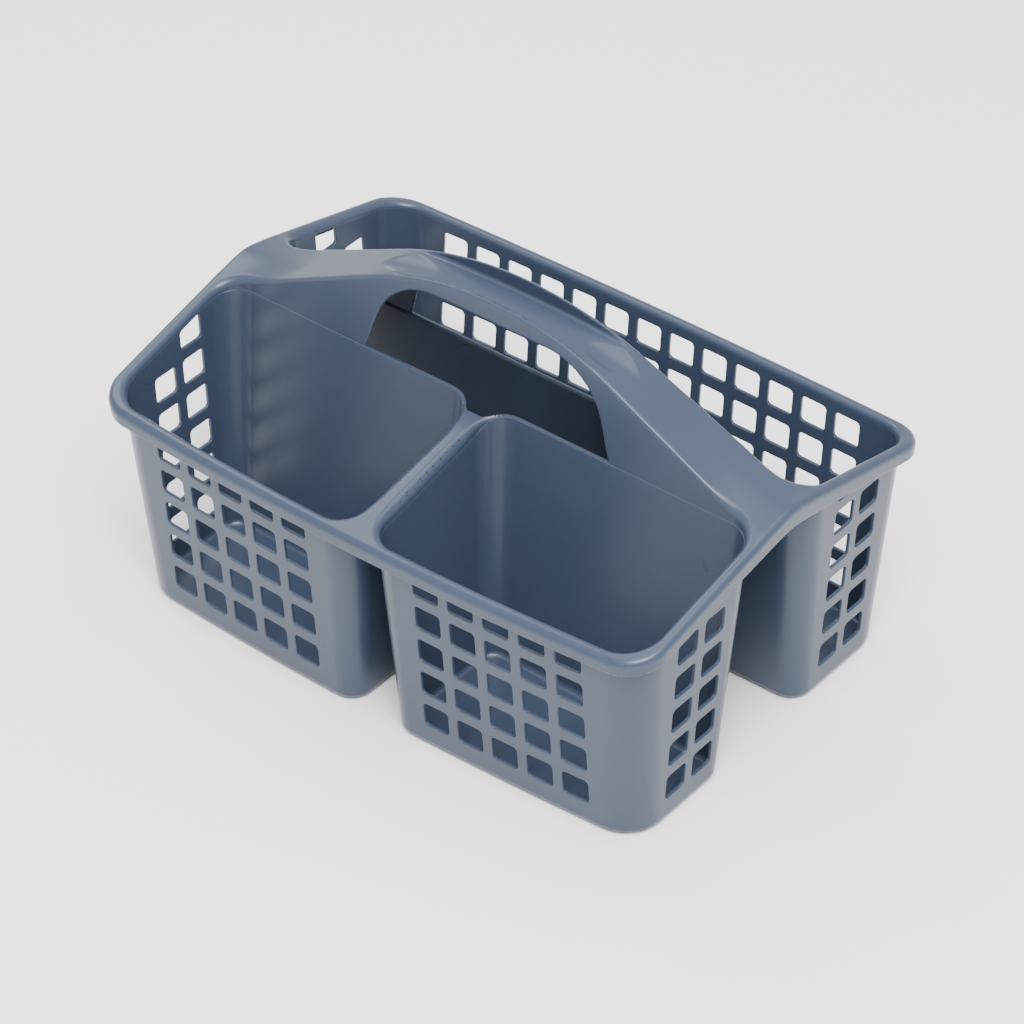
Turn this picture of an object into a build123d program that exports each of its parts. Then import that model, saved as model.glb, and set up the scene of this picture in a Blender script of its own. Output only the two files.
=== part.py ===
"""Cleaning caddy: two front bins, one long rear bin and an arched carrying handle.

The real caddy is a single moulding. It is divided here along its moulded features:
three bins up to their mouths, the rim that ties them together, the bridge between the
front bins, and the handle with its two shoulders, two webs and hollow grip.
Origin: centre of the footprint at the standing surface. X runs along the handle,
-Y is the side with the two front bins, +Z is up. Millimetres.
"""
from build123d import *
from math import cos, radians, tan
import os

# ---- driving dimensions -----------------------------------------------------------
wall = 2.0                     # thickness of every moulded wall
floor_thickness = 2.2          # thickness of the bin floors
foot_radius = 5.0              # rounding where a bin's walls turn into its floor

half_length = 165.6            # centre to the outside of an end wall, at the base
front_depth = 111.5            # centre to the outside of the front wall, at the base
rear_depth = 113.4             # centre to the outside of the rear wall, at the base
front_bow_radius = 2220.0      # plan radius of the gently bowed front wall
rear_bow_radius = 3500.0       # plan radius of the gently bowed rear wall
outer_corner = 20.0            # plan radius of the caddy's four corners
inner_corner = 13.0            # plan radius of the bins' inner corners, at the base
corner_growth = 0.035          # added inner radius per millimetre of height

end_draft = 3.33               # lean of each wall, degrees from vertical
front_draft = 4.92
rear_draft = 3.94
web_draft = 5.14

web_half_gap = 33.2            # centre plane to a bin's inner face at the handle, at the base
bin_half_gap = 14.5            # centre plane to a front bin's inner face, at the base

ridge_height = 159.2           # rim crest where its two slopes would meet
rim_slope = 13.66              # fall of the rim crest from the ridge, degrees
ridge_radius = 60.0            # rounding of the ridge
mouth_drop = 5.0               # rim crest down to the mouth of the bins
rim_reach = 5.8                # outside of the wall to the outside of the rim's skirt
rim_corner = 20.5              # plan radius of the rim's four corners, on its outside
skirt_ridge = 146.5            # skirt's lower edge where its two slopes would meet
skirt_slope = 12.1             # fall of the skirt's lower edge, degrees

handle_height = 209.5          # top of the handle
crown_radius = 190.0           # radius of the handle's arched top
shoulder_slope = 25.2          # slope of the handle's shoulders, degrees
shoulder_foot = 156.5          # height at which a shoulder levels out
shoulder_radius = 105.0        # rounding where it levels out
shoulder_start = 150.0         # centre plane to the joint between arm and shoulder
arm_start = 72.0               # centre plane to the joint between grip and arm
shoulder_reach = 42.0          # half width of a shoulder at the rim
bridge_half = 40.0             # half width of the bridge with its spread feet
bridge_front = 112.0           # centre plane to the joint between bridge and front rim

hand_hole_half = 79.4          # half width of the hand hole at the bin mouths
hand_hole_top_half = 63.3      # half width along its top
hand_hole_height = 197.2       # height of its top
hand_hole_corner = 24.0
grip_floor = 200.0             # height of the grip channel's floor at its middle
grip_floor_radius = 900.0      # the floor is arched a little
grip_half = 90.0               # half length of the channel's cut, past where it runs out

hole_pitch_x = 21.8            # lattice pitch along the walls
hole_pitch_z = 22.5            # lattice pitch up the walls
hole_width = 15.8
hole_height = 15.3
hole_corner = 2.4
hole_rows = 5                  # full rows on every perforated wall
top_row = 113.4                # height of the topmost full row's centres
front_columns = 5              # columns on each front bin
front_column_middle = 86.9     # centre plane to the middle column of a front bin
rear_columns = 13
front_end_column = -52.7       # inner column of holes on a front bin's end wall
rear_end_column = 56.8         # inner column of holes on the rear bin's end walls

span = 260.0                   # tool bodies are this high, above everything


def lean(angle, z):
    """Sideways travel of a wall of the given draft at height z."""
    return z * tan(radians(angle))


def web_face(z):
    """Distance from the centre plane to a bin's inner face beside the handle."""
    return web_half_gap - lean(web_draft, z)


def bin_face(z):
    """Distance from the centre plane to a front bin's inner face beside its neighbour."""
    return bin_half_gap - lean(end_draft, z)


def crest(y):
    """Height of the rim crest at depth y, before the ridge is rounded."""
    return ridge_height - lean(rim_slope, abs(y))


def arc_side(x_a, x_b, depth, bow_radius):
    """A long wall from x_a to x_b, bowed outwards by a circle of bow_radius."""
    side = -1 if depth < 0 else 1
    points = [(x, depth - side * x * x / (2 * bow_radius)) for x in (x_a, (x_a + x_b) / 2, x_b)]
    ThreePointArc(*points)
    return points[0], points[2]


def plan_loop(kind, z, grow):
    """Draw one closed plan outline at height z, moved outwards by grow."""
    end = half_length + lean(end_draft, z) + grow
    front = -front_depth - lean(front_draft, z) - grow
    rear = rear_depth + lean(rear_draft, z) + grow
    web = web_face(z) - wall - grow
    gap = bin_face(z) - wall - grow
    if kind == "caddy":
        low = arc_side(-end, end, front, front_bow_radius)
        high = arc_side(end, -end, rear, rear_bow_radius)
    elif kind == "rear":
        low = ((-end, web), (end, web))
        Line(*low)
        high = arc_side(end, -end, rear, rear_bow_radius)
    else:
        left, right = (-end, -gap) if kind == "left" else (gap, end)
        low = arc_side(left, right, front, front_bow_radius)
        high = ((right, -web), (left, -web))
        Line(*high)
    Line(low[1], high[0])
    Line(high[1], low[0])


def is_outer_corner(kind, corner):
    """True where the corner lies on the caddy's own outline."""
    outer_x = kind in ("caddy", "rear") or abs(corner.X) > half_length / 2
    outer_y = kind == "caddy" or abs(corner.Y) > front_depth / 2
    return outer_x and outer_y


def tapered_block(kind, z_low, z_high, grow=0.0, rounding=0.0):
    """Solid between two heights inside the drafted walls of one outline."""
    with BuildPart() as block:
        for z in (z_low, z_high):
            with BuildSketch(Plane.XY.offset(z)) as section:
                with BuildLine():
                    plan_loop(kind, z, grow)
                make_face()
                inner = [v for v in section.vertices() if not is_outer_corner(kind, v)]
                if inner:
                    fillet(inner, inner_corner + corner_growth * z + grow)
                outer = [v for v in section.vertices() if is_outer_corner(kind, v)]
                radius = rim_corner - rim_reach if kind == "caddy" else outer_corner
                fillet(outer, radius + grow)
        loft(ruled=True)
        if rounding:
            fillet(block.faces().sort_by(Axis.Z)[0].edges(), rounding)
    return block.part


def under_gable(ridge, slope):
    """Everything below a ridge along X that falls away evenly to both sides."""
    reach = 2 * rear_depth
    eaves = ridge - lean(slope, reach)
    with BuildPart() as block:
        with BuildSketch(Plane.YZ) as section:
            with BuildLine():
                Polyline((-reach, -10), (reach, -10), (reach, eaves), (0, ridge),
                         (-reach, eaves), close=True)
            make_face()
            fillet(section.vertices().sort_by(Axis.Y)[-1:], ridge_radius)
        extrude(amount=2 * half_length, both=True)
    return block.part


def under_handle(drop):
    """Everything below the handle's top: level foot, straight shoulder, crown, and back."""
    reach = 2 * half_length
    rise = tan(radians(shoulder_slope))
    peak = handle_height + crown_radius * (1 / cos(radians(shoulder_slope)) - 1)
    foot = (peak - shoulder_foot) / rise
    with BuildPart() as block:
        with BuildSketch(Plane.XZ) as section:
            with BuildLine():
                Polyline((-reach, -10), (reach, -10), (reach, shoulder_foot - drop),
                         (foot, shoulder_foot - drop), (0, peak - drop),
                         (-foot, shoulder_foot - drop), (-reach, shoulder_foot - drop), close=True)
            make_face()
            feet = [v for v in section.vertices() if abs(abs(v.X) - foot) < 1]
            fillet(feet, shoulder_radius)
            fillet(section.vertices().sort_by(Axis.Y)[-1:], crown_radius)
        extrude(amount=2 * rear_depth, both=True)
    return block.part


def between_webs(inset):
    """Long wedge between the two webs' outer faces, moved inwards by inset."""
    low = web_face(0) - inset
    high = web_face(span) - inset
    with BuildPart() as block:
        with BuildSketch(Plane.YZ):
            with BuildLine():
                Polyline((-low, 0), (low, 0), (high, span), (-high, span), close=True)
            make_face()
        extrude(amount=2 * half_length, both=True)
    return block.part


def box_between(low, high):
    """Plain tool body between two opposite corners."""
    with BuildPart() as block:
        with Locations(tuple((a + b) / 2 for a, b in zip(low, high))):
            Box(*(b - a for a, b in zip(low, high)))
    return block.part


def hand_hole():
    """Tool that cuts the hand hole through both webs, down past the bin mouths."""
    low = crest(web_face(ridge_height)) - mouth_drop - wall
    with BuildPart() as block:
        with BuildSketch(Plane.XZ) as section:
            with BuildLine():
                Polyline((-hand_hole_half, low), (hand_hole_half, low),
                         (hand_hole_top_half, hand_hole_height),
                         (-hand_hole_top_half, hand_hole_height), close=True)
            make_face()
            fillet(section.vertices().group_by(Axis.Y)[-1], hand_hole_corner)
        extrude(amount=web_half_gap, both=True)
        add(between_webs(0), mode=Mode.INTERSECT)
    return block.part


def grip_channel(inset, drop):
    """Space above the grip's shallow-arched floor, between the webs."""
    end = grip_floor - grip_half * grip_half / (2 * grip_floor_radius) - drop
    with BuildPart() as block:
        with BuildSketch(Plane.XZ):
            with BuildLine():
                ThreePointArc((-grip_half, end), (0, grip_floor - drop), (grip_half, end))
                Polyline((grip_half, end), (grip_half, span), (-grip_half, span), (-grip_half, end))
            make_face()
        extrude(amount=web_half_gap, both=True)
        add(between_webs(inset), mode=Mode.INTERSECT)
    return block.part


def envelope(inset):
    """Crest and handle as one solid, moved inwards by inset on every side."""
    footprint = tapered_block("caddy", 0, span, rim_reach - inset)
    with BuildPart() as block:
        add(under_handle(inset))
        add(between_webs(inset), mode=Mode.INTERSECT)
        add(under_gable(ridge_height - inset, rim_slope))
        add(footprint, mode=Mode.INTERSECT)
    return block.part


def lattice_holes(plane, x_middle, z_middle, columns, rows, depth):
    """Rounded square prisms on a flat lattice, reaching depth to both sides of a plane."""
    with BuildPart() as block:
        with BuildSketch(plane):
            with Locations((x_middle, z_middle)):
                with GridLocations(hole_pitch_x, hole_pitch_z, columns, rows):
                    RectangleRounded(hole_width, hole_height, hole_corner)
        extrude(amount=depth, both=True)
    return block.part


def end_holes(side, y, rows, z_middle):
    """One column of holes through an end wall, kept clear of the rim's skirt."""
    inside = half_length - 2 * wall
    outside = half_length + lean(end_draft, ridge_height) + 1
    plane = Plane.YZ.offset(side * (inside + outside) / 2)
    return lattice_holes(plane, y, z_middle, 1, rows, (outside - inside) / 2)


def front_holes(side):
    """Lattice through a front bin's front wall."""
    plane = Plane.XZ.offset(front_depth)
    return lattice_holes(plane, side * front_column_middle, rows_middle, front_columns,
                         hole_rows, bow_depth)


def bin_shell(kind, holes):
    """One open bin: drafted walls, rounded foot, sloping mouth, lattice of holes."""
    with BuildPart() as shell:
        add(outsides[kind])
        add(cavities[kind], mode=Mode.SUBTRACT)
        add(below_mouth, mode=Mode.INTERSECT)
        for tool in holes:
            add(tool, mode=Mode.SUBTRACT)
    return shell.part


# ---- shared tool bodies -----------------------------------------------------------
kinds = ("left", "right", "rear")
outsides = {kind: tapered_block(kind, 0, span, rounding=foot_radius) for kind in kinds}
cavities = {kind: tapered_block(kind, floor_thickness, span, -wall, foot_radius - wall)
            for kind in kinds}
below_mouth = under_gable(ridge_height - mouth_drop, rim_slope)
rows_middle = top_row - (hole_rows - 1) * hole_pitch_z / 2
tall_rows_middle = rows_middle + hole_pitch_z / 2
bow_depth = 2 * lean(front_draft, ridge_height)
ends = {side: [end_holes(side, front_end_column, hole_rows + 1, tall_rows_middle),
               end_holes(side, front_end_column - hole_pitch_x, hole_rows, rows_middle)]
        for side in (-1, 1)}
rear_ends = [end_holes(side, rear_end_column, hole_rows + 1, tall_rows_middle)
             for side in (-1, 1)]
rear_ends += [end_holes(side, rear_end_column + hole_pitch_x, hole_rows, rows_middle)
              for side in (-1, 1)]
rear_holes = lattice_holes(Plane.XZ.offset(-rear_depth), 0, rows_middle, rear_columns,
                           hole_rows, bow_depth)

# ---- everything above the bin mouths, as one hollow moulding ------------------------
with BuildPart() as hollow:
    add(envelope(wall))
    for kind in kinds:
        add(outsides[kind], mode=Mode.SUBTRACT)
    add(grip_channel(0, wall), mode=Mode.SUBTRACT)

with BuildPart() as upper:
    add(envelope(0))
    add(under_gable(skirt_ridge, skirt_slope), mode=Mode.SUBTRACT)
    for kind in kinds:
        add(cavities[kind], mode=Mode.SUBTRACT)
    add(hollow.part, mode=Mode.SUBTRACT)
    add(grip_channel(wall, 0), mode=Mode.SUBTRACT)
    add(hand_hole(), mode=Mode.SUBTRACT)

with BuildPart() as bin_walls:
    for kind in kinds:
        add(outsides[kind])
    add(below_mouth, mode=Mode.INTERSECT)

moulding = upper.part - bin_walls.part

# ---- zones that divide the upper moulding along its features ------------------------
reach = 2 * half_length
shoulders = {
    "left": box_between((-reach, -shoulder_reach, 0), (-shoulder_start, shoulder_reach, span)),
    "right": box_between((shoulder_start, -shoulder_reach, 0), (reach, shoulder_reach, span)),
}
grip_zone = box_between((-arm_start, -reach, 0), (arm_start, reach, span))
left_zone = box_between((-reach, -reach, 0), (0, reach, span))
handle_zone = between_webs(0)
bridge_zone = box_between((-bridge_half, -bridge_front, 0), (bridge_half, 0, span))
front_zone = box_between((-reach, -reach, 0), (reach, 0, span))


def piece_of(keep, leave):
    """The upper moulding inside every body in keep and outside every body in leave."""
    with BuildPart() as piece:
        add(moulding)
        for body in keep:
            add(body, mode=Mode.INTERSECT)
        for body in leave:
            add(body, mode=Mode.SUBTRACT)
    return piece.part


both_shoulders = list(shoulders.values())
rim_leave = [handle_zone, bridge_zone] + both_shoulders
arm_leave = [grip_zone] + both_shoulders

# ---- pieces --------------------------------------------------------------------------
pieces = {
    "front_left_bin": bin_shell("left", [front_holes(-1)] + ends[-1]),
    "front_right_bin": bin_shell("right", [front_holes(1)] + ends[1]),
    "rear_bin": bin_shell("rear", [rear_holes] + rear_ends),
    "front_rim": piece_of([front_zone], rim_leave),
    "rear_rim": piece_of([], rim_leave + [front_zone]),
    "bin_bridge": piece_of([bridge_zone], [handle_zone]),
    "left_shoulder": piece_of([shoulders["left"]], []),
    "right_shoulder": piece_of([shoulders["right"]], []),
    "handle_left_arm": piece_of([handle_zone, left_zone], arm_leave),
    "handle_right_arm": piece_of([handle_zone], [left_zone] + arm_leave),
    "handle_grip": piece_of([handle_zone, grip_zone], []),
}

os.makedirs("parts", exist_ok=True)
for name, piece in pieces.items():
    piece.label = name
    export_step(piece, f"parts/{name}.step")
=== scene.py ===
"""Cleaning caddy: two front bins, one long rear bin and an arched hollow handle.

The whole object is one injection moulding in slate-blue polypropylene. The script
follows it as a toolmaker would: the plastic, the three bins with their lattice walls,
the rim, bridge and handle above them, and the studio it stands in.
"""

import bpy
import numpy as np
from mathutils import Matrix, Vector


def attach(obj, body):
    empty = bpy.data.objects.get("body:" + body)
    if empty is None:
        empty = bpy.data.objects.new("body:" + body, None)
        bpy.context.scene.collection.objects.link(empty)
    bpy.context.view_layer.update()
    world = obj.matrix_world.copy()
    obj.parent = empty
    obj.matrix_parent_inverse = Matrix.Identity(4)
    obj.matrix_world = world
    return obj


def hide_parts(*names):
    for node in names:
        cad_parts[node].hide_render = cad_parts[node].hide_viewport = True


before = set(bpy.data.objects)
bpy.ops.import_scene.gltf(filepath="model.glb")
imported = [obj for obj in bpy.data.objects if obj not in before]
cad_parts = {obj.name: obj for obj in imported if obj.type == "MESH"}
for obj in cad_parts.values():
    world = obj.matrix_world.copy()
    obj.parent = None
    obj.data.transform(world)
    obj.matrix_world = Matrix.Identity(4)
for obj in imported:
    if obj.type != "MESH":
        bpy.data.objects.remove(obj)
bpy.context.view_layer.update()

# ---- 1. The plastic ------------------------------------------------------------------
# Slate-blue polypropylene straight from a polished mould: an even semi-gloss skin with a
# very fine orange-peel, and faint flow marks that shift its colour and its gloss a little.
SLATE = (0.034, 0.047, 0.076, 1.0)
SLATE_PALE = (0.041, 0.056, 0.089, 1.0)
SLATE_DEEP = (0.031, 0.043, 0.071, 1.0)


def skin_group():
    """Node group: moulded skin. Puts out a colour, a roughness and a bump height, each
    varying over the surface by noise in the piece's own millimetre-scaled coordinates."""
    group = bpy.data.node_groups.new("moulded_skin", "ShaderNodeTree")
    face = group.interface
    for label, kind, value in (("Flow size", "Float", 18.0), ("Peel size", "Float", 900.0),
                               ("Base", "Color", SLATE), ("Pale", "Color", SLATE_PALE),
                               ("Deep", "Color", SLATE_DEEP), ("Gloss", "Float", 0.24)):
        socket = face.new_socket(label, in_out="INPUT", socket_type="NodeSocket" + kind)
        socket.default_value = value
    for label, kind in (("Color", "Color"), ("Roughness", "Float"), ("Height", "Float")):
        face.new_socket(label, in_out="OUTPUT", socket_type="NodeSocket" + kind)
    nodes, links = group.nodes, group.links
    inputs = nodes.new("NodeGroupInput")
    outputs = nodes.new("NodeGroupOutput")
    place = nodes.new("ShaderNodeTexCoord")
    flow = nodes.new("ShaderNodeTexNoise")
    flow.inputs["Detail"].default_value = 3.0
    peel = nodes.new("ShaderNodeTexNoise")
    peel.inputs["Detail"].default_value = 2.0
    links.new(place.outputs["Object"], flow.inputs["Vector"])
    links.new(place.outputs["Object"], peel.inputs["Vector"])
    links.new(inputs.outputs["Flow size"], flow.inputs["Scale"])
    links.new(inputs.outputs["Peel size"], peel.inputs["Scale"])
    dark = nodes.new("ShaderNodeMix")
    dark.data_type = "RGBA"
    spread = nodes.new("ShaderNodeMapRange")
    spread.interpolation_type = "SMOOTHSTEP"
    spread.inputs["From Min"].default_value = 0.25
    spread.inputs["From Max"].default_value = 0.75
    links.new(flow.outputs["Fac"], spread.inputs["Value"])
    links.new(spread.outputs["Result"], dark.inputs["Factor"])
    links.new(inputs.outputs["Deep"], dark.inputs["A"])
    links.new(inputs.outputs["Base"], dark.inputs["B"])
    speck = nodes.new("ShaderNodeMapRange")
    speck.inputs["From Min"].default_value = 0.45
    speck.inputs["From Max"].default_value = 0.85
    speck.inputs["To Max"].default_value = 0.35
    links.new(peel.outputs["Fac"], speck.inputs["Value"])
    pale = nodes.new("ShaderNodeMix")
    pale.data_type = "RGBA"
    links.new(speck.outputs["Result"], pale.inputs["Factor"])
    links.new(dark.outputs["Result"], pale.inputs["A"])
    links.new(inputs.outputs["Pale"], pale.inputs["B"])
    links.new(pale.outputs["Result"], outputs.inputs["Color"])
    rough = nodes.new("ShaderNodeMath")
    rough.operation = "MULTIPLY_ADD"
    rough.inputs[1].default_value = 0.10
    links.new(flow.outputs["Fac"], rough.inputs[0])
    links.new(inputs.outputs["Gloss"], rough.inputs[2])
    links.new(rough.outputs["Value"], outputs.inputs["Roughness"])
    links.new(peel.outputs["Fac"], outputs.inputs["Height"])
    return group


def slate_plastic():
    """Semi-gloss coloured polypropylene: a Principled surface fed by the moulded skin."""
    material = bpy.data.materials.new("slate_plastic")
    material.use_nodes = True
    nodes, links = material.node_tree.nodes, material.node_tree.links
    shader = nodes["Principled BSDF"]
    skin = nodes.new("ShaderNodeGroup")
    skin.node_tree = skin_group()
    bump = nodes.new("ShaderNodeBump")
    bump.inputs["Strength"].default_value = 0.12
    bump.inputs["Distance"].default_value = 0.0002
    links.new(skin.outputs["Color"], shader.inputs["Base Color"])
    links.new(skin.outputs["Roughness"], shader.inputs["Roughness"])
    links.new(skin.outputs["Height"], bump.inputs["Height"])
    links.new(bump.outputs["Normal"], shader.inputs["Normal"])
    shader.inputs["IOR"].default_value = 1.49
    shader.inputs["Specular IOR Level"].default_value = 0.34
    return material


PLASTIC = slate_plastic()

# ---- 2. The bins ---------------------------------------------------------------------
# Three open tubs with drafted walls 2 mm thick. Their outer walls carry a lattice of
# rounded square holes; the walls beside the handle and between the front bins are plain.
MM = 0.001
WALL = 2.0
FLOOR = 2.2
FOOT = 5.0
HALF_LENGTH, END_LEAN = 165.6, np.tan(np.radians(3.33))
FRONT, FRONT_LEAN, FRONT_BOW = 111.5, np.tan(np.radians(4.92)), 2220.0
REAR, REAR_LEAN, REAR_BOW = 113.4, np.tan(np.radians(3.94)), 3500.0
WEB_GAP, WEB_LEAN = 33.2, np.tan(np.radians(5.14))
BIN_GAP = 14.5
OUTER_CORNER, INNER_CORNER, CORNER_GROWTH = 20.0, 12.5, 0.035
RIDGE, RIM_SLOPE = 159.2, np.tan(np.radians(13.66))
RIDGE_ROUND = 7.2
BRIDGE_RIDGE, BRIDGE_SLOPE = 153.5, 0.195
MOUTH_DROP, WEB_DROP, BRIDGE_DROP = 3.9, 1.1, 6.2
HALFWAY = 75
PITCH_X, PITCH_Z = 21.8, 22.5
HOLE_W, HOLE_H, HOLE_R = 15.8, 15.3, 2.4
HOLE_EDGE, HOLE_MARGIN = 0.5, 0.8
# a quarter round in four steps: what is left across it, and how far down it has gone
EDGE_STEPS = ((1, 0), (0.62, 0.08), (0.29, 0.29), (0.08, 0.62), (0, 1))
TOP_ROW, ROWS = 113.4, 5
ROW_BASE = TOP_ROW - (ROWS - 0.5) * PITCH_Z
CELL = 8


def end_x(z):
    """Outside of an end wall, from the centre plane."""
    return HALF_LENGTH + END_LEAN * z


def web_y(z):
    """Inner face of a bin beside the handle, from the centre plane."""
    return WEB_GAP - WEB_LEAN * z


def gap_x(z):
    """Inner face of a front bin beside its neighbour, from the centre plane."""
    return BIN_GAP - END_LEAN * z


def crest(y):
    """Height of the rim's gabled crest, its ridge rounded by a hyperbola."""
    return RIDGE - RIM_SLOPE * np.sqrt(y * y + RIDGE_ROUND ** 2)


def ease(t):
    """Smooth step from 0 to 1."""
    t = np.clip(t, 0, 1)
    return t * t * (3 - 2 * t)


def bridge_top(y):
    """Height of the bridge between the front bins, falling evenly towards the front."""
    return BRIDGE_RIDGE - BRIDGE_SLOPE * np.abs(y)


def mouth(x, y):
    """Height at which a bin's wall ends, y negative at the front: some way below the rim's
    crest, further beside the handle, and well below the bridge beside the bridge."""
    brim = crest(y) - MOUTH_DROP - WEB_DROP * ease((45 - np.abs(y)) / 23)
    beside = ease((32 - np.abs(x)) / 12) * ease((-22 - y) / 14) * ease((y + 118) / 10)
    return brim + beside * (bridge_top(y) - BRIDGE_DROP - brim)


def both(a, b, r):
    """Larger of two distances, the edge between them rounded by r: the common part."""
    return np.minimum(np.maximum(a, b), -r) + np.hypot(np.maximum(a + r, 0), np.maximum(b + r, 0))


def front_y(x, z):
    """Outside of the front wall, bowed in plan by a shallow parabola."""
    return FRONT + FRONT_LEAN * z - x * x / (2 * FRONT_BOW)


def rear_y(x, z):
    """Outside of the rear wall, bowed in plan by a shallow parabola."""
    return REAR + REAR_LEAN * z - x * x / (2 * REAR_BOW)


def lip(y):
    """Rounding of the mouth's inner edge: only where a bin meets the taller handle wall."""
    return 0.02 + 0.28 * ease((34 - np.abs(y)) / 12)


def slope_of(shape, p, step=0.02):
    """Gradient of a distance at every point, by central differences."""
    columns = []
    for axis in range(3):
        d = step * np.eye(3)[axis]
        columns.append((shape(*(p + d).T) - shape(*(p - d).T)) / (2 * step))
    return np.stack(columns, axis=1)


def plastic_piece(name, p, faces, normals, *nodes):
    """A piece of the moulding in metres, smooth, that stands for the named CAD nodes."""
    mesh = bpy.data.meshes.new(name)
    mesh.from_pydata((p * MM).tolist(), [], faces if isinstance(faces, list) else faces.tolist())
    mesh.shade_smooth()
    mesh.normals_split_custom_set_from_vertices(normals.tolist())
    mesh.materials.append(PLASTIC)
    piece = bpy.data.objects.new(name, mesh)
    bpy.context.scene.collection.objects.link(piece)
    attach(piece, "root")
    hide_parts(*nodes)
    return piece


def strips(layers, m):
    """Squares between each closed ring of m points and the next."""
    a = np.arange(m)
    b = (a + 1) % m
    return np.concatenate([np.stack([a + m * i, b + m * i, b + m * i + m, a + m * i + m], axis=-1)
                           for i in range(layers - 1)])


class Bin:
    """One tub in the quarter x > 0, y > 0: its walls, its lattice and its rounded plan."""

    def __init__(self, rear):
        self.rear = rear
        self.wall_y = rear_y if rear else front_y
        self.end_columns = (56.8, 78.6) if rear else (52.7, 74.5)
        span = 6 if rear else 2
        self.middle = 0.0 if rear else 86.9
        self.columns = self.middle + PITCH_X * np.arange(-span, span + 1)
        self.cells = self.lay_out()

    def brim(self, x, y):
        """Height of the tub's mouth over a plan point."""
        return mouth(x, y if self.rear else -y)

    def sides(self, z, d):
        """Left, right and handle-side planes of the plan, and its three corner radii."""
        right = end_x(z) - d
        left = -right if self.rear else gap_x(z) - WALL + d
        inner = INNER_CORNER + CORNER_GROWTH * z - d
        outer = OUTER_CORNER - d + 0 * z
        return left, right, web_y(z) - WALL + d, inner, outer, outer if self.rear else inner

    def lay_out(self):
        """Cells round the plan, anticlockwise: side, its two ends, and whether it is holed.
        An end below 2 is a share of the straight side, any other is a place in millimetres."""
        half = PITCH_X / 2
        near, far = self.end_columns
        ends = [near - HOLE_W / 2 - HOLE_MARGIN, far - half, far + half]
        tops = [self.columns[-1] + half] + list(self.columns[::-1] - half)
        plain = 8 if self.rear else 4
        cells = [(0, False, k / plain, False, (k + 1) / plain, -1) for k in range(plain)]
        cells += [(4, False, 0, False, 1, -1), (1, False, 0, True, ends[0], -1),
                  (1, True, ends[0], True, ends[1], 6), (1, True, ends[1], True, ends[2], 5),
                  (1, True, ends[2], False, 1, -1), (5, False, 0, False, 1, -1),
                  (2, False, 0, True, tops[0], -1)]
        cells += [(2, True, a, True, b, 5) for a, b in zip(tops[:-1], tops[1:])]
        cells += [(2, True, tops[-1], False, 1, -1), (6, False, 0, False, 1, -1)]
        if self.rear:
            cells += [(3, False, 0, True, ends[2], -1), (3, True, ends[2], True, ends[1], 5),
                      (3, True, ends[1], True, ends[0], 6), (3, True, ends[0], False, 1, -1)]
        else:
            cells += [(3, False, k / 3, False, (k + 1) / 3, -1) for k in range(3)]
        return cells + [(7, False, 0, False, 1, -1)]

    def along(self, kind, fixed0, a, fixed1, b, s, z, d):
        """Place along a side at share s of a cell whose ends are fixed or follow the corners."""
        left, right, web, inner, outer, turn = self.sides(z, d)
        top_right = self.wall_y(right, z) - d - outer
        top_left = self.wall_y(left, z) - d - turn
        side = [kind == k for k in range(4)]
        start = np.select(side, [left + inner, web + inner, right - outer, top_left], 0.0)
        stop = np.select(side, [right - inner, top_right, left + turn, web + inner], 1.0)
        first = np.where(fixed0, a, start + (stop - start) * a)
        last = np.where(fixed1, b, start + (stop - start) * b)
        return first + (last - first) * s

    def point(self, kind, c, z, d):
        """Point of the skin a depth d inside the wall: on a side at place c, or at share c
        of a quarter turn round a corner."""
        left, right, web, inner, outer, turn = self.sides(z, d)
        sin, cos = np.sin(c * np.pi / 2), np.cos(c * np.pi / 2)
        which = [kind == k for k in range(8)]
        x = np.select(which, [c, right, c, left,
                              right - inner + inner * sin, right - outer + outer * cos,
                              left + turn - turn * sin, left + inner - inner * cos])
        top = self.wall_y(x, z) - d
        y = np.select(which, [web, c, top, c,
                              web + inner - inner * cos, top - outer + outer * sin,
                              top - turn + turn * cos, web + inner - inner * sin])
        return np.stack([x, y, z + 0 * x], axis=-1)

    def skin(self, cell, s, low, high, t, d):
        """Points at shares s, t of cells between two heights; the last row ends at the mouth."""
        kind, fixed0, a, fixed1, b = cell
        low = np.where(low > 0, low, FOOT + 0.1 * d)
        z = low + (np.where(high > 0, high, 140.0) - low) * t
        for _ in range(4):
            p = self.point(kind, self.along(kind, fixed0, a, fixed1, b, s, z, d), z, d)
            brim = self.brim(p[..., 0], p[..., 1]) - lip(p[..., 1]) * d / WALL
            z = np.where(high > 0, z, low + (brim - low) * t)
        return self.point(kind, self.along(kind, fixed0, a, fixed1, b, s, z, d), z, d)

    def in_row(self, y, z, tall):
        """Height inside a hole, from its middle; a tall column's top hole follows the mouth."""
        bottom = TOP_ROW + PITCH_Z - HOLE_H / 2
        share = (z - bottom) / (self.brim(HALF_LENGTH, y) - 1.2 - bottom)
        row = TOP_ROW - PITCH_Z * np.clip(np.round((TOP_ROW - z) / PITCH_Z), 0, ROWS - 1)
        return np.where(tall & (z > TOP_ROW + PITCH_Z / 2), (share - 0.5) * HOLE_H, z - row)

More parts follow.
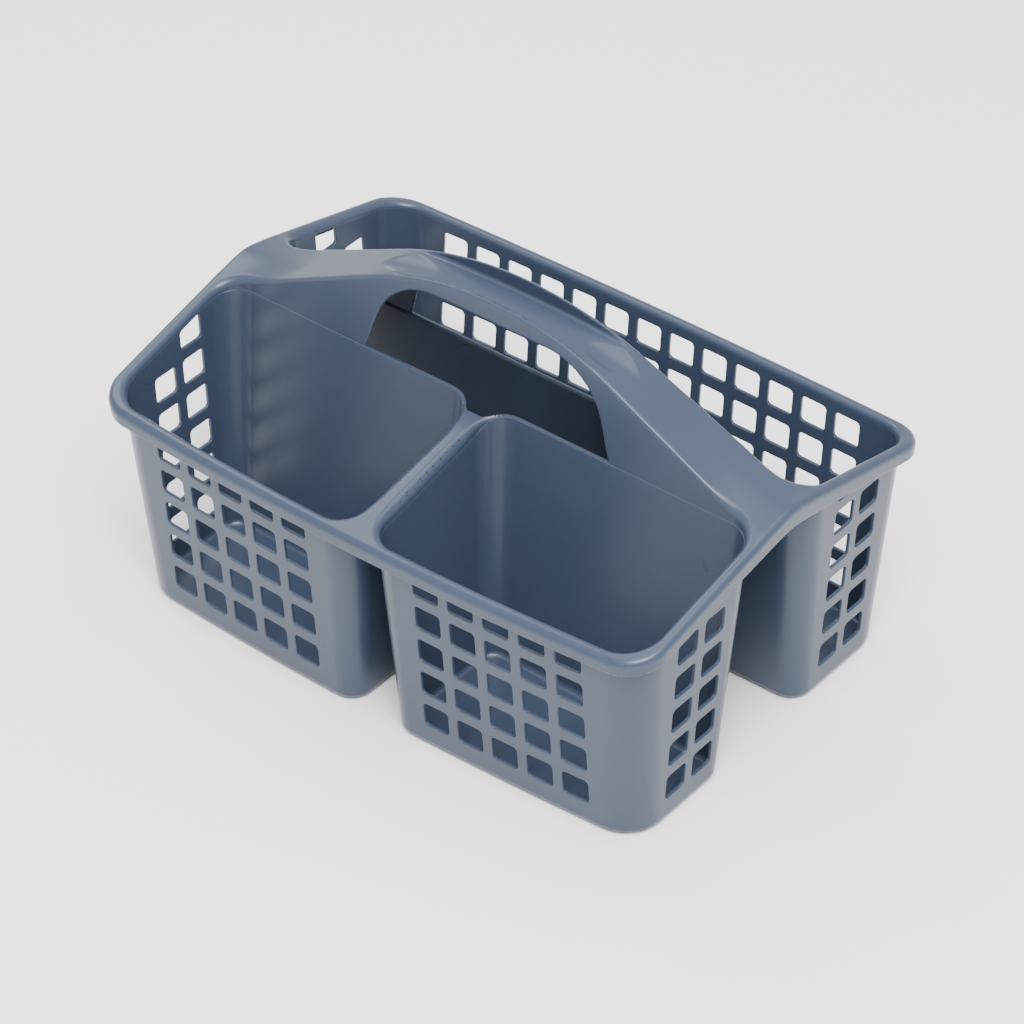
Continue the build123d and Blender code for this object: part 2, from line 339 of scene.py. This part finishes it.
    def holes(self, x, y, z):
        """Distance outside the nearest hole of the lattice."""
        on_end = (np.abs(x) > end_x(z) - 6) & (x > 0 if not self.rear else True)
        column = np.where(np.abs(y - self.end_columns[0]) < PITCH_X / 2, *self.end_columns)
        inner = y < self.end_columns[0] + PITCH_X / 2
        last = len(self.columns) // 2
        nearest = np.clip(np.round((x - self.middle) / PITCH_X), -last, last)
        across = np.where(on_end, y - column, x - self.middle - PITCH_X * nearest)
        near = on_end | (y > self.wall_y(x, z) - 6)
        up = self.in_row(y, z, on_end & inner)
        gap = both(np.abs(across) - HOLE_W / 2, np.abs(up) - HOLE_H / 2, HOLE_R)
        return np.where(near, gap, 9.0)

    def distance(self, x, y, z):
        """Signed distance to the tub: plan and foot, less its cavity and its lattice."""
        left, right, web, inner, outer, turn = self.sides(z, 0.0)
        low, high, east, west = web - y, y - self.wall_y(x, z), x - right, left - x
        middle = (left + right) / 2
        plan = np.where(y > HALFWAY,
                        np.where(x > middle, both(east, high, outer), both(west, high, turn)),
                        np.where(x > middle, both(east, low, inner), both(west, low, inner)))
        body = both(plan, -z, FOOT)
        hollow = both(plan + WALL, FLOOR - z, FOOT - WALL)
        shell = both(body, -hollow, 0.02)
        shell = both(shell, z - self.brim(x, y), lip(y))
        return both(shell, -self.holes(x, y, z), HOLE_EDGE)

    def mesh(self):
        """Points, faces and normals: plain and holed tiles on both skins, the rounded foot,
        the floor and the brim, welded along the tiles' shared edges."""
        n = CELL
        blocks = []
        cells = np.array([c[:5] for c in self.cells], float)
        tall = np.array([c[5] for c in self.cells])
        lows = np.array([0.0] + [ROW_BASE + PITCH_Z * k for k in range(ROWS + 1)])
        highs = np.append(lows[1:], 0.0)
        u = np.repeat(np.arange(len(cells)), len(lows))
        v = np.tile(np.arange(len(lows)), len(cells))
        holed = (v >= 1) & (v <= tall[u])
        st = np.linspace(0, 1, n + 1)
        grid = np.arange((n + 1) ** 2).reshape(n + 1, n + 1)
        tile = np.stack([grid[:-1, :-1], grid[:-1, 1:], grid[1:, 1:], grid[1:, :-1]], axis=-1)
        tile = tile.reshape(-1, 4)
        s, t = np.tile(st, n + 1), np.repeat(st, n + 1)
        pick = lambda w: tuple(cells[w, c][:, None] for c in range(5))
        for d, order in ((0.0, 1), (WALL, -1)):
            w, row = u[~holed], v[~holed]
            p = self.skin(pick(w), s, lows[row][:, None], highs[row][:, None], t, d)
            quads = tile[None] + (np.arange(len(w)) * len(s))[:, None, None]
            blocks.append((p.reshape(-1, 3), quads.reshape(-1, 4)[:, ::order]))
        w, row = u[holed], v[holed]
        blocks.append(self.holed_tiles(pick(w), lows[row][:, None], highs[row][:, None]))
        blocks.append(self.foot_and_brim(cells))
        return self.weld(blocks)

    def holed_tiles(self, cell, low, high):
        """Rings from a tile's edge to the hole, round the hole's edge, through the wall, and
        out again to the edge of the tile on the inner skin."""
        n = CELL
        k = np.arange(n) / n
        s = np.concatenate([k, 1 + 0 * k, 1 - k, 0 * k])
        t = np.concatenate([0 * k, k, 1 + 0 * k, 1 - k])
        kind = cell[0]
        centre = np.where(kind == 1, cell[4], cell[2]) - PITCH_X / 2
        turn = np.where(kind == 1, 1.0, -1.0)

        def outline(grow):
            hx, hy, r = HOLE_W / 2 + grow, HOLE_H / 2 + grow, HOLE_R + grow

            def corner(x, y, *degrees):
                return [(x + r * np.cos(q), y + r * np.sin(q)) for q in np.radians(degrees)]

            loop = np.array(corner(r - hx, r - hy, -135, -120, -105, -90) + [(0.0, -hy)]
                            + corner(hx - r, r - hy, -90, -75, -60)
                            + corner(hx - r, r - hy, -45, -30, -15, 0) + [(hx, 0.0)]
                            + corner(hx - r, hy - r, 0, 15, 30))
            return np.concatenate([loop, -loop])

        def ring(grow, d):
            q = outline(grow)
            c = centre + turn * q[:, 0]
            bottom = TOP_ROW + PITCH_Z - HOLE_H / 2
            roof = bottom + (q[:, 1] / HOLE_H + 0.5) * (self.brim(HALF_LENGTH, c) - 1.2 - bottom)
            flat = low + PITCH_Z / 2 + q[:, 1]
            return self.point(kind, c, np.where(high > 0, flat, roof), d)

        rings = [self.skin(cell, s, low, high, t, 0.0)]
        rings += [ring(f * HOLE_EDGE, g * HOLE_EDGE) for f, g in EDGE_STEPS]
        rings += [ring(f * HOLE_EDGE, WALL - g * HOLE_EDGE) for f, g in EDGE_STEPS[::-1]]
        rings.append(self.skin(cell, s, low, high, t, WALL))
        p = np.stack(rings, axis=1)
        count, layers, m = p.shape[:3]
        quads = strips(layers, m)[None] + (np.arange(count) * layers * m)[:, None, None]
        return p.reshape(-1, 3), quads.reshape(-1, 4)

    def foot_and_brim(self, cells):
        """Closed rings round the whole plan: inner floor, inner foot, outer foot, outer floor,
        and the brim across the top of the wall."""
        n = CELL
        cell = tuple(np.repeat(cells[:, c], n) for c in range(5))
        s = np.tile(np.arange(n) / n, len(cells))
        m = len(s)
        turns = np.linspace(0, np.pi / 2, 7)

        def ring(z, d):
            return self.point(cell[0], self.along(*cell, s, z, d), z, d)

        def shrink(p, count=4):
            middle = np.array([0.0 if self.rear else 88.0, 70.0, p[0, 2]])
            return [p + (middle - p) * f for f in np.linspace(0, 1, count + 1)[1:]]

        outer = [ring(FOOT * (1 - np.sin(a)) + 0 * s, FOOT * (1 - np.cos(a))) for a in turns]
        r = FOOT - WALL
        inner = [ring(FLOOR + r * (1 - np.sin(a)) + 0 * s, WALL + r * (1 - np.cos(a)))
                 for a in turns]
        outer += shrink(outer[-1])
        inner += shrink(inner[-1])
        low, high = ROW_BASE + PITCH_Z * ROWS + 0 * s, 0 * s
        edge_out = self.skin(cell, s, low, high, 1.0, 0.0)
        edge_in = self.skin(cell, s, low, high, 1.0, WALL)
        e = lip(edge_in[:, 1])
        level = self.brim(edge_in[:, 0], edge_in[:, 1])
        kind, c = cell[0], lambda z, d: self.along(*cell, s, z, d)
        brim = [edge_out]
        for f, g in ((1.0, 0.0), (0.29, 0.29)):
            d = WALL - f * e
            q = self.point(kind, c(level, d), level, d)
            z = self.brim(q[:, 0], q[:, 1]) - g * e
            brim.append(self.point(kind, c(z, d), z, d))
        brim.append(edge_in)
        start = 0
        points, quads = [], []
        for layers, order in ((outer, -1), (inner, 1), (brim, 1)):
            points += layers
            quads.append(strips(len(layers), m)[:, ::order] + start)
            start += m * len(layers)
        return np.concatenate(points), np.concatenate(quads)

    def weld(self, blocks):
        """Join blocks, merge points that coincide, and drop the sides this leaves empty."""
        start = np.cumsum([0] + [len(p) for p, _ in blocks[:-1]])
        p = np.concatenate([p for p, _ in blocks])
        quads = np.concatenate([q + k for (_, q), k in zip(blocks, start)])
        _, first, index = np.unique(np.round(p * 200 + 0.137).astype(np.int64), axis=0,
                                    return_index=True, return_inverse=True)
        quads = index.ravel()[quads]
        p = p[first]
        same = quads == np.roll(quads, -1, axis=1)
        squares = quads[~same.any(axis=1)]
        pinched = same.sum(axis=1) == 1
        triangles = quads[pinched][~same[pinched]]
        normals = slope_of(self.distance, p)
        normals /= np.maximum(np.linalg.norm(normals, axis=1), 1e-6)[:, None]
        return p, squares, triangles.reshape(-1, 3), normals


def bin_piece(name, node, tub, flip):
    """A tub turned to its own quarter by flipping x or y, its faces kept outward."""
    p, squares, triangles, normals = tub
    order = 1 if flip[0] * flip[1] > 0 else -1
    sign = np.array([flip[0], flip[1], 1])
    faces = squares[:, ::order].tolist() + triangles[:, ::order].tolist()
    return plastic_piece(name, p * sign, faces, normals * sign, node)


front_tub = Bin(rear=False).mesh()
bin_piece("tub_front_right", "front_right_bin", front_tub, (1, -1))
bin_piece("tub_front_left", "front_left_bin", front_tub, (-1, -1))
bin_piece("tub_rear", "rear_bin", Bin(rear=True).mesh(), (1, 1))

# ---- 3. The rim, the bridge and the handle ---------------------------------------------
# Everything above the bins' mouths is one hollow shell of the same plastic, 2 mm thick and
# open from below: a full-round rim with a skirt, a bridge between the front bins, and an
# arched handle with a hand hole and an open channel along its grip.
GRID = 1.0
CREST_ROUND = 3.7
SKIRT_RIDGE, SKIRT_SLOPE = 146.5, np.tan(np.radians(12.1))
RIM_REACH, RIM_CORNER = 5.8, 20.5
CROWN, CROWN_RADIUS = 209.5, 190.0
SHOULDER_SLOPE = np.radians(25.2)
SHOULDER_BLEND = 10.0
SHOULDER_SPREAD = 5.0
BRIDGE_ROUND = 5.0
HANDLE_EDGE = 1.6
HAND_HALF, HAND_BOTTOM, HAND_TOP, HAND_SIDE = 79.4, 149.5, 197.5, 0.3375
HAND_CORNER = 24.0
GRIP_FLOOR, GRIP_ARCH = 200.0, 900.0
GRIP_ROUND = 2.2
SCOOP_START, SCOOP_TOP, SCOOP_SLOPE, SCOOP_ROUND = 46.0, 198.8, 0.213, 15.0
LEDGE = 0.2
LAP = 1.2


def either(a, b, k):
    """Smaller of two distances, blended by a parabola over a width k: the joined whole."""
    h = np.maximum(k - np.abs(a - b), 0) / k
    return np.minimum(a, b) - h * h * k / 4


def plan_rim(x, y, z):
    """Distance outside the rim's plan outline at a height."""
    side = np.where(y < 0, front_y(x, z), rear_y(x, z)) + RIM_REACH
    return both(np.abs(x) - end_x(z) - RIM_REACH, np.abs(y) - side, RIM_CORNER)


def plan_cavity(x, y, z):
    """Distance outside the nearest bin's inner faces at a height, rounded in plan."""
    x, ay = np.abs(x), np.abs(y)
    end = x - end_x(z) + WALL
    side = ay - np.where(y < 0, front_y(x, z), rear_y(x, z)) + WALL
    web = web_y(z) - ay
    gap = gap_x(z) - x - 4 * np.maximum(z - bridge_top(y), 0)
    inner = INNER_CORNER + CORNER_GROWTH * z - WALL
    outer = OUTER_CORNER - WALL
    rear = np.where(y > HALFWAY, both(end, side, outer), both(end, web, inner))
    far = np.where(y < -HALFWAY, both(end, side, outer), both(end, web, inner))
    near = np.where(y < -HALFWAY, both(gap, side, inner), both(gap, web, inner))
    return np.where(y > 0, rear, np.where(x > 90, far, near))


def arch(x):
    """Height of the handle's top: a circular crown, then straight shoulders."""
    x = np.abs(x)
    turn = CROWN_RADIUS * np.sin(SHOULDER_SLOPE)
    crown = CROWN - CROWN_RADIUS + np.sqrt(CROWN_RADIUS ** 2 - np.minimum(x, turn) ** 2)
    return crown - np.maximum(x - turn, 0) * np.tan(SHOULDER_SLOPE)


def grip_cut(x, y, z):
    """Distance outside the grip channel: a trough between the webs, and at each end a scoop
    that slopes down from its floor and runs out on the arm with a round end."""
    floor = GRIP_FLOOR - x * x / (2 * GRIP_ARCH)
    trough = both(floor - z, np.abs(y) - web_y(z) + WALL + 0.3, GRIP_ROUND)
    bed = SCOOP_TOP - SCOOP_SLOPE * (np.abs(x) - SCOOP_START) + y * y / (2 * SCOOP_ROUND)
    scoop = np.maximum((bed - z) * 0.92, 25 - np.abs(x))
    return -both(-trough, -scoop, 0.5)


def hand_opening(x, z):
    """Distance outside the hand hole, seen from the front."""
    side = (np.abs(x) - HAND_HALF + HAND_SIDE * (z - HAND_BOTTOM)) / np.hypot(1, HAND_SIDE)
    return both(side, z - HAND_TOP, HAND_CORNER)


def moulding(x, y, z):
    """Signed distance to the hollow shell above the bins, negative inside the plastic."""
    across = np.abs(y) - web_y(z)
    level = crest(y)
    on_bridge = ease((60 - np.abs(x)) / 25) * (y < 0)
    level = level + on_bridge * (bridge_top(y) - level)
    deck = (z - level) * 0.972
    slope = np.where(np.abs(x) > CROWN_RADIUS * np.sin(SHOULDER_SLOPE), np.cos(SHOULDER_SLOPE), 1.0)
    handle = both((z - arch(x)) * slope, across - SHOULDER_SPREAD, 4.5)
    opening = hand_opening(x, z)
    top = either(deck, both(handle, -opening, 0.7), SHOULDER_BLEND)
    body = either(deck, handle, SHOULDER_BLEND)
    rim = plan_rim(x, y, z)
    cavity = plan_cavity(x, y, z)
    channel = grip_cut(x, y, z)
    edge = CREST_ROUND + ((HANDLE_EDGE - CREST_ROUND) * ease((155 - np.abs(x)) / 20)
                          * ease((32 - np.abs(y)) / 8))
    beside = ease((45 - np.abs(x)) / 15) * ease((y + 110) / 15) * (y < 0)
    edge = edge + (2.0 + (BRIDGE_ROUND - 2.0) * ease((-28 - y) / 20) - edge) * beside
    step = 0.08 + LEDGE * ease((34 - np.abs(y)) / 12)
    outside = both(both(top, rim, CREST_ROUND), step - cavity, edge)
    inside = both(both(body + WALL, rim + WALL, 1.7), WALL - 0.1 - cavity, 1.7)
    inside = both(inside, 2 * WALL - channel, 1.7)
    shell = both(outside, -inside, 0.6)
    shell = both(shell, -channel, 0.6)
    hole = np.maximum(np.maximum(opening, mouth(x, y) - 2 * LAP - z), across - 1)
    shell = both(shell, -hole, 0.7)
    skirt = SKIRT_RIDGE - SKIRT_SLOPE * np.hypot(y, RIDGE_ROUND)
    shell = both(shell, (skirt - z) * 0.978, 0.9)
    return np.maximum(shell, np.minimum(WALL + 0.02 - cavity, mouth(x, y) - LAP - z))


def net_quads(inside, cell_id):
    """One quad round every grid edge with a single end inside, through the four cells that
    share the edge, turned to face away from the inside end."""
    quads = []
    for axis in range(3):
        low = np.moveaxis(inside, axis, 0)[:-1]
        high = np.moveaxis(inside, axis, 0)[1:]
        cells = np.moveaxis(cell_id, axis, 0)
        i, j, k = np.nonzero(low != high)
        keep = (j > 0) & (k > 0)
        i, j, k = i[keep], j[keep], k[keep]
        ring = np.stack([cells[i, j - 1, k - 1], cells[i, j, k - 1],
                         cells[i, j, k], cells[i, j - 1, k]], axis=1)
        turn = low[i, j, k] == (axis == 1)
        quads.append(np.where(turn[:, None], ring[:, ::-1], ring))
    return np.concatenate(quads)


def crossings(field, axes, cell_id):
    """Sum and count, cell by cell, of the points where the surface cuts the cell's edges."""
    total = np.zeros((cell_id.max() + 1, 3))
    count = np.zeros(cell_id.max() + 1)
    for axis in range(3):
        f = np.moveaxis(field, axis, 0)
        cells = np.moveaxis(cell_id, axis, 0)
        i, j, k = np.nonzero((f[:-1] < 0) != (f[1:] < 0))
        keep = (j > 0) & (k > 0)
        i, j, k = i[keep], j[keep], k[keep]
        f0, f1 = f[i, j, k], f[i + 1, j, k]
        others = [a for a in range(3) if a != axis]
        point = np.zeros((len(i), 3))
        point[:, axis] = axes[axis][i] + GRID * f0 / (f0 - f1)
        point[:, others[0]] = axes[others[0]][j]
        point[:, others[1]] = axes[others[1]][k]
        for dj, dk in ((0, 0), (1, 0), (0, 1), (1, 1)):
            cell = cells[i, j - dj, k - dk]
            count += np.bincount(cell, minlength=len(count))
            for c in range(3):
                total[:, c] += np.bincount(cell, point[:, c], minlength=len(count))
    return total, count


def settle(shape, p, free, rounds=4):
    """Points walked down the gradient on to the surface, along their free axes only."""
    for _ in range(rounds):
        g = slope_of(shape, p) * free
        length = np.maximum((g * g).sum(1), 0.05)
        p = p + np.clip(-(shape(*p.T) / length)[:, None] * g, -0.4, 0.4)
    return p


def grid_axis(start, stop):
    """Grid positions a step apart, with the middle of a cell on every whole step."""
    return (np.arange(np.floor(start / GRID), stop / GRID + 1) + 0.5) * GRID


axes = (grid_axis(-1, 184), grid_axis(-130, 130), grid_axis(112, 212))
X, Y, Z = axes[0][:, None, None], axes[1][None, :, None], axes[2][None, None, :]
field = moulding(X, Y, Z)
cells = tuple(n - 1 for n in field.shape)
cell_id = np.full(field.shape, -1)
cell_id[:-1, :-1, :-1] = np.arange(np.prod(cells)).reshape(cells)
total, count = crossings(field, axes, cell_id)

SHOULDER_START, SHOULDER_REACH, ARM_START = 150.0, 42.0, 72.0
BRIDGE_HALF, BRIDGE_FRONT, BRIDGE_REAR = 40.0, 112.0, 18.0
is_shoulder = (X > SHOULDER_START) & (np.abs(Y) < SHOULDER_REACH)
is_bridge = (X < BRIDGE_HALF) & (Y > -BRIDGE_FRONT) & (Y < -BRIDGE_REAR) & (Z < 162)
is_handle = (np.abs(Y) < 32) & (Z > 140) & ~is_shoulder & ~is_bridge
zones = {
    "shoulder": is_shoulder,
    "bin_bridge": is_bridge,
    "handle_grip": is_handle & (X < ARM_START),
    "arm": is_handle & (X > ARM_START),
    "front_rim": (Y < 0) & ~(is_shoulder | is_bridge | is_handle),
    "rear_rim": (Y > 0) & ~(is_shoulder | is_bridge | is_handle),
}


def zone_mesh(zone):
    """The part of the net inside one zone: points, quads and normals, its seams closed."""
    quads = net_quads((field < 0) & zone, cell_id)
    used, faces = np.unique(quads, return_inverse=True)
    faces = faces.reshape(-1, 4)
    places = zip(axes, np.unravel_index(used, cells))
    middle = np.stack([a[i] + GRID / 2 for a, i in places], axis=1)
    real = count[used] > 0
    p = np.where(real[:, None], total[used] / np.maximum(count[used], 1)[:, None], middle)
    x, y = middle[:, 0], middle[:, 1]
    at = lambda value, place: np.abs(value - place) < GRID / 2
    hold = np.zeros(p.shape, bool)
    hold[:, 0] = (at(x, 0) | at(x, SHOULDER_START) & (np.abs(y) < SHOULDER_REACH + GRID)
                  | at(x, ARM_START) & (np.abs(y) < 32))
    hold[:, 1] = (at(np.abs(y), SHOULDER_REACH) & (x > SHOULDER_START - GRID)
                  | at(y, -BRIDGE_FRONT) & (x < BRIDGE_HALF + GRID))
    p[hold] = middle[hold]
    p[real] = settle(moulding, p[real], ~hold[real])
    normals = slope_of(moulding, p)
    normals /= np.maximum(np.linalg.norm(normals, axis=1), 1e-6)[:, None]
    return p, faces, normals


def mirrored(p, faces, normals):
    """The same points, faces and normals on the other side of the centre plane."""
    flip = np.array([-1, 1, 1])
    return p * flip, faces[:, ::-1], normals * flip


def whole(p, faces, normals):
    """A half joined to its mirror image along the points on the centre plane."""
    q, other, turned = mirrored(p, faces, normals)
    new = np.arange(len(p)) + len(p)
    new[np.abs(p[:, 0]) < 1e-9] = np.nonzero(np.abs(p[:, 0]) < 1e-9)[0]
    keep = np.unique(new)
    index = np.searchsorted(np.concatenate([np.arange(len(p)), keep[keep >= len(p)]]), new)
    extra = keep[keep >= len(p)] - len(p)
    return (np.concatenate([p, q[extra]]), np.concatenate([faces, index[other]]),
            np.concatenate([normals, turned[extra]]))


for name in ("front_rim", "rear_rim", "bin_bridge", "handle_grip"):
    plastic_piece("moulded_" + name, *whole(*zone_mesh(zones[name])), name)
half = zone_mesh(zones["shoulder"])
plastic_piece("moulded_right_shoulder", *half, "right_shoulder")
plastic_piece("moulded_left_shoulder", *mirrored(*half), "left_shoulder")
half = zone_mesh(zones["arm"])
plastic_piece("moulded_right_arm", *half, "handle_right_arm")
plastic_piece("moulded_left_arm", *mirrored(*half), "handle_left_arm")

# ---- 4. The studio ---------------------------------------------------------------------
# A pale floor and large soft lights: the broad key hangs high in front and reaches down
# into the bins, a second box draws the far edges, and one overhead evens out the tops.
EYE = Vector((1.1744, -1.4666, 1.5521))
BACK, RIGHT = Vector((0.48976, -0.61285, 0.62014)), Vector((0.7812, 0.6243, 0.0))
lens = bpy.data.cameras.new("view")
lens.lens, lens.sensor_width, lens.clip_end = 160.92, 36.0, 20.0
camera = bpy.data.objects.new("view", lens)
bpy.context.scene.collection.objects.link(camera)
camera.matrix_world = (Matrix.Translation(EYE)
                       @ Matrix((RIGHT, BACK.cross(RIGHT), BACK)).transposed().to_4x4())
bpy.context.scene.camera = camera


def soft_light(name, place, aim, width, height, power):
    """A rectangular soft box at a place, turned towards a point."""
    light = bpy.data.lights.new(name, "AREA")
    light.shape, light.size, light.size_y, light.energy = "RECTANGLE", width, height, power
    lamp = bpy.data.objects.new(name, light)
    bpy.context.scene.collection.objects.link(lamp)
    lamp.location = place
    lamp.rotation_euler = (Vector(aim) - Vector(place)).to_track_quat("-Z", "Y").to_euler()


soft_light("key", (1.1, -1.2, 2.6), (0, 0, 0.1), 1.5, 1.5, 180)
soft_light("back", (-1.7, 0.5, 2.0), (0, 0, 0.1), 1.2, 1.2, 25)
soft_light("overhead", (0.2, 0.2, 2.8), (0, 0, 0), 2.0, 2.0, 50)

floor_mesh = bpy.data.meshes.new("floor")
floor_mesh.from_pydata([(-6, -6, 0), (6, -6, 0), (6, 6, 0), (-6, 6, 0)], [], [(0, 1, 2, 3)])
floor = bpy.data.objects.new("floor", floor_mesh)
bpy.context.scene.collection.objects.link(floor)
paper = bpy.data.materials.new("pale_paper")
paper.use_nodes = True
sheet = paper.node_tree.nodes["Principled BSDF"].inputs
sheet["Base Color"].default_value = (0.88, 0.88, 0.88, 1.0)
sheet["Roughness"].default_value = 0.9
floor_mesh.materials.append(paper)

surround = bpy.data.worlds.new("surround")
surround.use_nodes = True
surround.node_tree.nodes["Background"].inputs["Color"].default_value = (1.0, 1.0, 1.0, 1.0)
surround.node_tree.nodes["Background"].inputs["Strength"].default_value = 1.1
bpy.context.scene.world = surround
